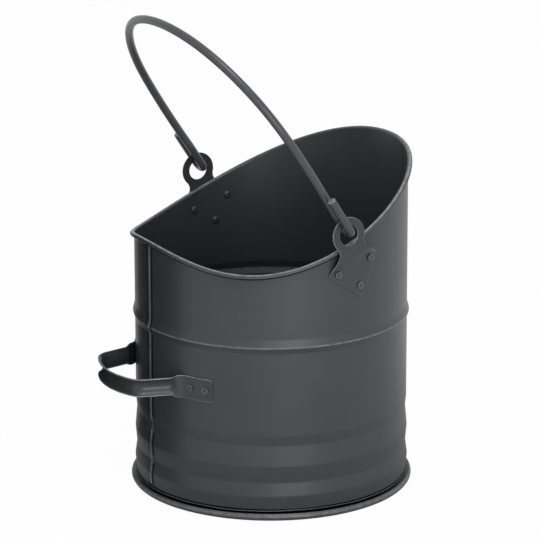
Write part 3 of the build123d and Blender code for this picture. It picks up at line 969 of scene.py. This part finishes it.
@dataclass
class RearHandle:
    """The pressed handle across the seam: a bowed gutter whose two ends flatten into riveted tabs.

    The front and the corner are each a radius and a turn in degrees. The tabs' start and end, and the rivets,
    are degrees round from the handle's middle.
    """

    turn: float = 177.3
    height: float = 132.6
    sheet: float = 1.5
    width: float = 18.8
    depth: float = 5.0
    reach: float = 186.6
    front: tuple = (92.0, 25.5)
    corner: tuple = (20.0, 51.0)
    arm: float = 25.0
    wall: float = WALL_RADIUS
    tab_width: float = 24.0
    tab_start: float = 27.0
    tab_end: float = 39.2
    tab_corner: float = 1.6
    step_share: float = 0.45
    rivets: tuple = (28.9, 36.1)
    pull: float = 16.0
    strip_points: int = 25
    edge_points: int = 7
    flare_rows: int = 14
    tab_rows: int = 15

    def loop(self, half: float, depth: float) -> np.ndarray:
        """A closed section of the strip: an arc of sheet with rounded edges, flat where its depth is none.

        The strip's middle surface is an arc through (-depth, 0) and (0, +-half); each side is half a sheet
        off it, and its edges are half circles.

        Args:
            half: Half the strip's width.
            depth: How deep it is dished, towards the wall.

        Returns:
            Array of outwards and up.
        """
        thick = self.sheet / 2
        share = np.linspace(-1.0, 1.0, self.strip_points)
        inner = half - thick
        if depth == 0.0:
            middle = np.stack([np.zeros_like(share), inner * share], axis=-1)
            normal = np.stack([np.ones_like(share), np.zeros_like(share)], axis=-1)
        else:
            radius = (inner ** 2 + depth ** 2) / (2 * depth)
            angle = math.asin(inner / radius) * share
            middle = np.stack([radius - depth - radius * np.cos(angle), radius * np.sin(angle)], axis=-1)
            normal = np.stack([np.cos(angle), -np.sin(angle)], axis=-1)
        turn = np.radians(np.linspace(0.0, 180.0, self.edge_points + 2))[1:-1, None]
        tangent = np.array([-normal[-1, 1], normal[-1, 0]])
        top = middle[-1] + thick * (np.cos(turn) * normal[-1] + np.sin(turn) * tangent)
        low = top[::-1] * np.array([1.0, -1.0])
        return np.concatenate([middle + thick * normal, top, (middle - thick * normal)[::-1], low])

    def flare(self, start: np.ndarray, heading: float, share: np.ndarray) -> np.ndarray:
        """The line between the arm and the tab: a cubic Hermite curve, pulled the same at both ends.

        Args:
            start: Where the arm ends.
            heading: The arm's heading in degrees.
            share: How far along each wanted point is, from 0 to 1.

        Returns:
            Array of points.
        """
        goal_turn = math.radians(self.tab_start)
        goal = self.wall * np.array([math.cos(goal_turn), math.sin(goal_turn)])
        ahead = np.radians([heading, 90.0 + self.tab_start])
        first, last = self.pull * np.stack([np.cos(ahead), np.sin(ahead)], axis=-1)
        t = share[:, None]
        return ((2 * t ** 3 - 3 * t ** 2 + 1) * start + (t ** 3 - 2 * t ** 2 + t) * first
                + (-2 * t ** 3 + 3 * t ** 2) * goal + (t ** 3 - t ** 2) * last)

    def surface(self) -> Surface:
        """The handle: the section carried along half the bow, a flare and a tab, and mirrored for the rest.

        The gutter flattens in the flare's first part, and the tab's corners are quarter circles.

        Returns:
            The surface, in place on the body.
        """
        arcs = [(radius * math.radians(turn), turn) for radius, turn in (self.front, self.corner)]
        bow, headings = follow((self.reach, 0.0), 90.0, (*arcs, (self.arm, 0.0)))
        share = np.linspace(0.0, 1.0, self.flare_rows + 1)[1:]
        flare = self.flare(bow[-1], headings[-1], share)
        flare_headings = headings[-1] + (90.0 + self.tab_start - headings[-1]) * smooth(share)
        tab_turns = np.linspace(self.tab_start, self.tab_end, self.tab_rows + 1)[1:]
        tab = self.wall * np.stack([np.cos(np.radians(tab_turns)), np.sin(np.radians(tab_turns))], axis=-1)
        inset = np.clip(np.radians(tab_turns - self.tab_end) * self.wall + self.tab_corner, 0.0, None)
        narrow = self.tab_corner - np.sqrt(self.tab_corner ** 2 - inset ** 2)
        line = np.concatenate([bow, flare, tab])
        headings = np.concatenate([headings, flare_headings, 90.0 + tab_turns])
        gutter = self.loop(self.width / 2, self.depth) - np.array([self.sheet / 2, 0.0])
        flat = self.loop(self.tab_width / 2, 0.0) + np.array([self.sheet / 2, 0.0])
        step = smooth(share / self.step_share)
        flatten = np.concatenate([np.zeros(len(bow)), step, np.ones(self.tab_rows)])
        section = gutter + (flat - gutter) * flatten[:, None, None]
        scale = np.concatenate([np.ones(len(line) - self.tab_rows), 1.0 - narrow / (self.tab_width / 2)])
        outward = np.radians(headings - 90.0)[:, None]
        x = line[:, 0][:, None] + section[..., 0] * np.cos(outward)
        y = line[:, 1][:, None] + section[..., 0] * np.sin(outward)
        half = np.stack([x, y, section[..., 1] * scale[:, None]], axis=-1)
        other = half[:0:-1] * np.array([1.0, -1.0, 1.0])
        grid = turned(np.concatenate([other, half]) + np.array([0.0, 0.0, self.height]), self.turn)
        # The strip's edges get a painted highlight, also read as rubbed paint.
        face, edge = np.zeros(self.strip_points), np.ones(self.edge_points)
        wear_and_painted_light = np.broadcast_to(np.concatenate([face, edge, face, edge]), grid.shape[:2])
        return Surface.from_grid(grid, wear_and_painted_light, False, True, caps=True)

    def build(self) -> list:
        """Make the handle and its four rivets in place of the plain solids.

        Returns:
            The three objects.
        """
        made = [placed(self.surface().to_object("tipping_handle"), Body.HOD, Slot.FITTING, "rear_handle")]
        for name, node, side in (("right_handle_heads", "right_handle_rivets", 1.0),
                                 ("left_handle_heads", "left_handle_rivets", -1.0)):
            rivet = Rivet(plate=self.sheet)
            pair = [rivet.surface(self.turn + side * turn, self.height) for turn in self.rivets]
            heads = reduce(Surface.joined, pair).to_object(name)
            made.append(placed(heads, Body.HOD, Slot.RIVET, node))
        return made


def placed(piece: bpy.types.Object, body: Body, slot: Slot, *nodes: str) -> bpy.types.Object:
    """Put a finished piece on its body and in the place of its plain solids.

    Args:
        piece: The new object.
        body: The body it rides on.
        slot: The record's material slot.
        nodes: Names of the solids it stands for.

    Returns:
        The same object.
    """
    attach(piece, body.value)
    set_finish(piece, slot.value)
    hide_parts(*nodes)
    count = len(piece.data.vertices)
    LOG.info("%s: %d vertices on %s, for %s", piece.name, count, body.value, ", ".join(nodes))
    return piece


class Nodes:
    """A short hand for one node tree: make nodes, set their sockets and join them.

    A Mix node's sockets go by number: its share is 0, its two values are 2 and 3 and its two colours 6 and 7.
    """

    def __init__(self, tree: bpy.types.NodeTree) -> None:
        """Keep the tree.

        Args:
            tree: The node tree that is filled.
        """
        self.tree = tree

    def add(self, kind: str, inputs: dict, **settings: object) -> bpy.types.Node:
        """Make a node.

        Args:
            kind: The node's type.
            inputs: For each socket, by name or number, a value or the socket that feeds it.
            settings: Properties of the node.

        Returns:
            The node.
        """
        node = self.tree.nodes.new(kind)
        for name, value in settings.items():
            setattr(node, name, value)
        self.feed(node, inputs)
        return node

    def feed(self, node: bpy.types.Node, inputs: dict) -> None:
        """Set or join the sockets of a node.

        Args:
            node: The node.
            inputs: For each socket, by name or number, a value or the socket that feeds it.
        """
        for name, value in inputs.items():
            if isinstance(value, bpy.types.NodeSocket):
                self.tree.links.new(value, node.inputs[name])
            else:
                node.inputs[name].default_value = value

    def math(self, operation: str, first: object, second: object = 0.0) -> bpy.types.NodeSocket:
        """Make a Math node.

        Args:
            operation: What it does.
            first: Its first value or socket.
            second: Its second value or socket.

        Returns:
            Its output.
        """
        return self.add("ShaderNodeMath", {0: first, 1: second}, operation=operation).outputs[0]

    def spread(self, value: bpy.types.NodeSocket, low: float, high: float, start: float,
               end: float) -> bpy.types.NodeSocket:
        """Map a value from one range to another, held at the ends.

        Args:
            value: The socket that is mapped.
            low: Where it starts.
            high: Where it ends.
            start: What the low value becomes.
            end: What the high value becomes.

        Returns:
            The mapped value.
        """
        inputs = {"Value": value, "From Min": low, "From Max": high, "To Min": start, "To Max": end}
        return self.add("ShaderNodeMapRange", inputs).outputs[0]

    def noise(self, scale: float, detail: float, roughness: float, vector: object) -> bpy.types.NodeSocket:
        """Make a Noise Texture node.

        Args:
            scale: Waves to the metre, roughly.
            detail: How many finer layers it has.
            roughness: How strong they are.
            vector: The socket that gives its place.

        Returns:
            Its value.
        """
        inputs = {"Scale": scale, "Detail": detail, "Roughness": roughness, "Vector": vector}
        return self.add("ShaderNodeTexNoise", inputs).outputs[0]

    def blend(self, share: object, first: object, second: object) -> bpy.types.NodeSocket:
        """Mix two colours.

        Args:
            share: How much of the second.
            first: First colour or socket.
            second: Second colour or socket.

        Returns:
            The mixed colour.
        """
        node = self.add("ShaderNodeMix", {0: share, 6: first, 7: second}, data_type="RGBA")
        return node.outputs[2]


@dataclass(frozen=True)
class PaintFilm:
    """The film that every painted piece shares: where the paint is thin or grainy, rubbed or lit by painted
    highlights, or darkened by painted shade.

    Each noise is its scale, detail and roughness. A span is the part of a noise that is stretched from 0 to
    1, or for the patches, which break up the rubbed and painted-highlight edges, from their least share to 1.
    """

    mottle: tuple = (9.0, 3.0, 0.55)
    grain: tuple = (620.0, 2.0, 0.6)
    peel: tuple = (900.0, 1.0, 0.5)
    patches: tuple = (160.0, 4.0, 0.65)
    span: tuple = (0.3, 0.7)
    patch_span: tuple = (0.3, 0.62)
    least_patch: float = 0.25

    def group(self) -> bpy.types.NodeTree:
        """Make the node group that each paint holds.

        Mottle is slow noise from thick to thin paint. Grain is the fine texture of the dried spray. Rub and
        highlight is the piece's own wear and painted highlights, broken up by patches. Painted shade is where
        that value is below none. Peel is the height of the orange peel.

        Returns:
            The node group.
        """
        tree = bpy.data.node_groups.new("paint_film", "ShaderNodeTree")
        tree.interface.new_socket("Place", in_out="INPUT", socket_type="NodeSocketVector")
        for name in ("Mottle", "Grain", "Rub_and_highlight", "Painted_shade", "Peel"):
            tree.interface.new_socket(name, in_out="OUTPUT", socket_type="NodeSocketFloat")
        nodes = Nodes(tree)
        place = nodes.add("NodeGroupInput", {}).outputs["Place"]
        worn_and_lit = nodes.add("ShaderNodeAttribute", {}, attribute_name="wear_and_painted_light").outputs["Fac"]
        patches = nodes.spread(nodes.noise(*self.patches, place), *self.patch_span, self.least_patch, 1.0)
        found = {
            "Mottle": nodes.spread(nodes.noise(*self.mottle, place), *self.span, 0.0, 1.0),
            "Grain": nodes.spread(nodes.noise(*self.grain, place), *self.span, 0.0, 1.0),
            "Rub_and_highlight": nodes.math("MULTIPLY", nodes.math("MAXIMUM", worn_and_lit, 0.0), patches),
            "Painted_shade": nodes.math("MAXIMUM", nodes.math("MULTIPLY", worn_and_lit, -1.0), 0.0),
            "Peel": nodes.noise(*self.peel, place),
        }
        nodes.add("NodeGroupOutput", found)
        return tree


@dataclass(frozen=True)
class SatinPaint:
    """Charcoal satin spray paint: a dark film with a faint mottle, fine grain and lighter edges, rubbed and
    painted as highlights.

    The film runs from thick to thin by the mottle and the rest by the grain, and from smooth to dull with the
    mottle. Painted shade takes it to black and makes it metallic, so that a painted line of shade keeps no
    sheen.
    """

    name: str
    thick: tuple
    thin: tuple
    rubbed_and_lit: tuple
    smooth: float
    dull: float
    peel: float
    rub_and_highlight: float = 0.6
    black: tuple = (0.002, 0.002, 0.002)
    mottle_share: float = 0.65
    peel_height: float = 0.0002

    def material(self, film: bpy.types.NodeTree) -> bpy.types.Material:
        """Make the material.

        Args:
            film: The shared paint group.

        Returns:
            The material.
        """
        made = bpy.data.materials.new(self.name)
        made.use_nodes = True
        nodes = Nodes(made.node_tree)
        place = nodes.add("ShaderNodeTexCoord", {}).outputs["Object"]
        paint = nodes.add("ShaderNodeGroup", {"Place": place}, node_tree=film).outputs
        mottle = nodes.math("MULTIPLY", paint["Mottle"], self.mottle_share)
        grain = nodes.math("MULTIPLY", paint["Grain"], 1.0 - self.mottle_share)
        colour = nodes.blend(nodes.math("ADD", mottle, grain), (*self.thick, 1.0), (*self.thin, 1.0))
        colour = nodes.blend(nodes.math("MULTIPLY", paint["Rub_and_highlight"], self.rub_and_highlight), colour, (*self.rubbed_and_lit, 1.0))
        # Painted shade: black, and metallic below so that it reflects no sheen.
        colour = nodes.blend(paint["Painted_shade"], colour, (*self.black, 1.0))
        gloss = nodes.spread(paint["Mottle"], 0.0, 1.0, self.smooth, self.dull)
        height = {"Strength": self.peel, "Distance": self.peel_height, "Height": paint["Peel"]}
        nodes.feed(made.node_tree.nodes["Principled BSDF"], {
            "Base Color": colour,
            "Roughness": gloss,
            "Metallic": paint["Painted_shade"],
            "Normal": nodes.add("ShaderNodeBump", height).outputs["Normal"],
        })
        return made


@dataclass(frozen=True)
class BareWire:
    """The drawn wire inside the curl: plain steel with brown stains.

    The stains are a noise of scale, detail and roughness, and the span of it is stretched from none to full.
    """

    name: str = "drawn_wire"
    steel: tuple = (0.32, 0.31, 0.3)
    stain: tuple = (0.12, 0.09, 0.07)
    stains: tuple = (240.0, 4.0, 0.6)
    span: tuple = (0.3, 0.7)
    clean: float = 0.38
    stained: float = 0.7

    def material(self) -> bpy.types.Material:
        """Make the material.

        Returns:
            The material.
        """
        made = bpy.data.materials.new(self.name)
        made.use_nodes = True
        nodes = Nodes(made.node_tree)
        place = nodes.add("ShaderNodeTexCoord", {}).outputs["Object"]
        stain = nodes.spread(nodes.noise(*self.stains, place), *self.span, 0.0, 1.0)
        nodes.feed(made.node_tree.nodes["Principled BSDF"], {
            "Base Color": nodes.blend(stain, (*self.steel, 1.0), (*self.stain, 1.0)),
            "Roughness": nodes.spread(stain, 0.0, 1.0, self.clean, self.stained),
            "Metallic": 1.0,
        })
        return made


@dataclass(frozen=True)
class Lamp:
    """A soft lamp, placed by its direction from the body as the camera sees it, in degrees and metres."""

    name: str
    azimuth: float
    elevation: float
    distance: float
    size: tuple
    radiance: float

    def build(self, bearing: float) -> None:
        """Make the lamp, facing the middle of the body.

        Args:
            bearing: The camera's turn about +Z in degrees.
        """
        data = bpy.data.lights.new(self.name, "AREA")
        data.shape = "RECTANGLE"
        data.size, data.size_y = self.size
        data.energy = self.radiance * math.pi * self.size[0] * self.size[1]
        lamp = bpy.data.objects.new(self.name, data)
        bpy.context.scene.collection.objects.link(lamp)
        lamp.location, direction = studio_place(self.azimuth, self.elevation, self.distance, bearing)
        lamp.rotation_euler = direction.to_track_quat("Z", "Y").to_euler()
        lamp.visible_camera = False


def studio_place(azimuth: float, elevation: float, distance: float, bearing: float) -> tuple:
    """A place round the middle of the body, from a direction as the camera sees it.

    Args:
        azimuth: Degrees round from the camera, to the picture's right.
        elevation: Degrees above the middle of the body.
        distance: How far away, in metres.
        bearing: The camera's turn about +Z in degrees.

    Returns:
        The place, and the direction to it from the middle of the body.
    """
    around, rise = math.radians(azimuth), math.radians(elevation)
    level = math.cos(rise)
    ahead = np.array([level * math.sin(around), -level * math.cos(around), math.sin(rise)])
    direction = Vector(turned(ahead, bearing).tolist())
    return direction * distance + Vector((0.0, 0.0, BODY_MIDDLE)), direction


@dataclass
class Studio:
    """The camera at the photograph's place, a white floor, soft lamps and a dark flag to the left.

    The camera's place is how far it is from the body's axis, its height and how far aside, then its pitch,
    roll and bearing about +Z in degrees. The world's zenith and horizon are its strength overhead and level.
    The flag stands across, away and up in metres, as the camera sees it.
    """

    distance: float = 3625.955
    height: float = 1314.044
    aside: float = -0.9135
    pitch: float = 16.77326
    roll: float = 0.1119
    bearing: float = -28.7
    lens: float = 245.783
    sensor: float = 36.0
    farthest: float = 50.0
    zenith: float = 0.4
    horizon: float = 0.9
    floor_half: float = 8.0
    floor_white: float = 0.9
    floor_glow: float = 0.97
    pool: tuple = (0.14, 0.5)
    near_glow: float = 0.38
    flag_across: float = -0.215
    flag_away: tuple = (-0.13, 0.12)
    flag_top: float = 0.4
    lamps: tuple = (
        Lamp("front_softbox", 17.0, 7.0, 2.2, (1.2, 0.8), 4.6),
        Lamp("top_softbox", 10.0, 66.0, 2.0, (0.8, 0.8), 7.0),
    )

    def camera(self) -> None:
        """Make the camera and give it to the scene."""
        data = bpy.data.cameras.new("photo_camera")
        data.lens = self.lens
        data.sensor_width = self.sensor
        data.clip_end = self.farthest
        camera = bpy.data.objects.new("photo_camera", data)
        bpy.context.scene.collection.objects.link(camera)
        place = turned(np.array([self.aside, -self.distance, self.height]), self.bearing) * MM
        aim = Euler((math.radians(90.0 - self.pitch), 0.0, math.radians(self.bearing))).to_matrix()
        aim = aim @ Matrix.Rotation(math.radians(-self.roll), 3, "Z")
        camera.location = place.tolist()
        camera.rotation_euler = aim.to_euler()
        bpy.context.scene.camera = camera

    def seen(self, nodes: Nodes) -> bpy.types.NodeSocket:
        """Whether a ray comes from the camera, a gloss or a clear surface, which all see a glow.

        Args:
            nodes: The tree that asks.

        Returns:
            1 for those rays and 0 for the rest.
        """
        path = nodes.add("ShaderNodeLightPath", {})
        either = nodes.math("MAXIMUM", path.outputs["Is Camera Ray"], path.outputs["Is Glossy Ray"])
        return nodes.math("MAXIMUM", either, path.outputs["Is Transmission Ray"])

    def floor(self) -> None:
        """Make the white floor, which glows in part but keeps the shadow.

        Gloss sees its glow dimmed beside the body, from the pool's inner radius to its outer one: a painted
        shadow round the body, seen only in reflections.
        """
        made = bpy.data.materials.new("studio_white")
        made.use_nodes = True
        nodes = Nodes(made.node_tree)
        made.node_tree.nodes.remove(made.node_tree.nodes["Principled BSDF"])
        white = (self.floor_white, self.floor_white, self.floor_white, 1.0)
        diffuse = nodes.add("ShaderNodeBsdfDiffuse", {"Color": white})
        place = nodes.add("ShaderNodeTexCoord", {}).outputs["Object"]
        away = nodes.add("ShaderNodeVectorMath", {0: place}, operation="LENGTH").outputs["Value"]
        # A painted shadow for gloss: the glow dims towards the body.
        shaded = nodes.spread(away, *self.pool, 1.0 - self.near_glow, 0.0)
        glossy = nodes.add("ShaderNodeLightPath", {}).outputs["Is Glossy Ray"]
        level = nodes.math("SUBTRACT", 1.0, nodes.math("MULTIPLY", glossy, shaded))
        glow = nodes.add("ShaderNodeEmission", {"Color": (1.0, 1.0, 1.0, 1.0), "Strength": level})
        share = nodes.math("MULTIPLY", self.seen(nodes), self.floor_glow)
        mixed = nodes.add("ShaderNodeMixShader", {0: share, 1: diffuse.outputs[0], 2: glow.outputs[0]})
        nodes.feed(made.node_tree.nodes["Material Output"], {"Surface": mixed.outputs[0]})
        half = self.floor_half
        corners = np.array([(-half, -half, 0.0), (half, -half, 0.0), (half, half, 0.0), (-half, half, 0.0)])
        stage_sheet("studio_floor", corners, made)

    def flag(self) -> None:
        """Stand a black card to the left of the picture, seen only in gloss, as a studio's flag is."""
        made = bpy.data.materials.new("flag_black")
        made.use_nodes = True
        nodes = Nodes(made.node_tree)
        nodes.feed(made.node_tree.nodes["Principled BSDF"], {
            "Base Color": (0.0, 0.0, 0.0, 1.0),
            "Roughness": 1.0,
            "Specular IOR Level": 0.0,
        })
        near, far = self.flag_away
        sides = [(near, 0.0), (far, 0.0), (far, self.flag_top), (near, self.flag_top)]
        corners = np.array([(self.flag_across, away, up) for away, up in sides])
        card = stage_sheet("left_flag", turned(corners, self.bearing), made)
        card.visible_camera = False
        card.visible_diffuse = False
        card.visible_shadow = False
        card.visible_transmission = False

    def world(self) -> None:
        """Light the world softly, brighter at the horizon than overhead.

        The rays that see a glow see plain white instead.
        """
        world = bpy.data.worlds.new("studio_world")
        world.use_nodes = True
        bpy.context.scene.world = world
        nodes = Nodes(world.node_tree)
        place = nodes.add("ShaderNodeTexCoord", {}).outputs["Generated"]
        height = nodes.add("ShaderNodeSeparateXYZ", {"Vector": place}).outputs["Z"]
        level = nodes.spread(height, 0.0, 1.0, self.horizon, self.zenith)
        strength = nodes.add("ShaderNodeMix", {0: self.seen(nodes), 2: level, 3: 1.0}).outputs[0]
        background = world.node_tree.nodes["Background"]
        nodes.feed(background, {"Color": (1.0, 1.0, 1.0, 1.0), "Strength": strength})

    def build(self) -> None:
        """Make everything of the studio but the camera."""
        self.floor()
        self.flag()
        self.world()
        for lamp in self.lamps:
            lamp.build(self.bearing)


def stage_sheet(name: str, corners: np.ndarray, material: bpy.types.Material) -> bpy.types.Object:
    """Make a flat sheet that belongs to the stage.

    Args:
        name: The object's name.
        corners: Its four corners in metres.
        material: Its material.

    Returns:
        The sheet.
    """
    mesh = bpy.data.meshes.new(name)
    mesh.from_pydata(corners.tolist(), [], [(0, 1, 2, 3)])
    mesh.materials.append(material)
    sheet = bpy.data.objects.new(name, mesh)
    bpy.context.scene.collection.objects.link(sheet)
    return sheet


PAINTS = {
    Slot.BODY: SatinPaint(
        name="body_satin", thick=(0.022, 0.028, 0.029), thin=(0.03, 0.038, 0.039),
        rubbed_and_lit=(0.46, 0.47, 0.47), smooth=0.38, dull=0.44, peel=0.12),
    Slot.FITTING: SatinPaint(
        name="fitting_satin", thick=(0.018, 0.0235, 0.0245), thin=(0.03, 0.037, 0.038),
        rubbed_and_lit=(0.34, 0.35, 0.35), smooth=0.34, dull=0.42, peel=0.15),
    # The bail's film is lighter than the body's: the same paint, made lighter as painted light where the bail
    # catches more of the lamps.
    Slot.BAIL: SatinPaint(
        name="bail_satin", thick=(0.032, 0.037, 0.038), thin=(0.052, 0.058, 0.059),
        rubbed_and_lit=(0.28, 0.29, 0.29), smooth=0.3, dull=0.38, peel=0.15),
    Slot.RIVET: SatinPaint(
        name="rivet_satin", thick=(0.018, 0.0235, 0.0245), thin=(0.028, 0.035, 0.036),
        rubbed_and_lit=(0.22, 0.23, 0.23), smooth=0.3, dull=0.38, peel=0.12),
}


def dress(pieces: list, frame: dict) -> None:
    """Give every piece the paint of its slot, and every solid the bare wire's or the body's finish.

    Args:
        pieces: The new objects.
    """
    film = PaintFilm().group()
    finishes = {slot.value: paint.material(film) for slot, paint in PAINTS.items()}
    finishes[Slot.WIRE.value] = BareWire().material()
    for piece in pieces:
        piece.data.materials.append(finishes[piece["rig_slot"]])
    for name, node in frame["nodes"].items():
        for place in node.material_slots:
            place.material = finishes[Slot.WIRE.value if name == "rim_wire" else Slot.BODY.value]


def main() -> None:
    """Load the frame, build every piece in order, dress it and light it."""
    logging.basicConfig(level=logging.INFO, format="%(name)s: %(message)s")
    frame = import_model()
    studio = Studio()
    studio.camera()
    pieces = [SheetBody().build(), FloorPan().build(), FootHoop().build(), WireBail().build()]
    pieces += EyePlate().build()
    pieces += RearHandle().build()
    dress(pieces, frame)
    studio.build()
    bpy.context.scene.view_settings.view_transform = "Standard"


if __name__ == "__main__":
    main()
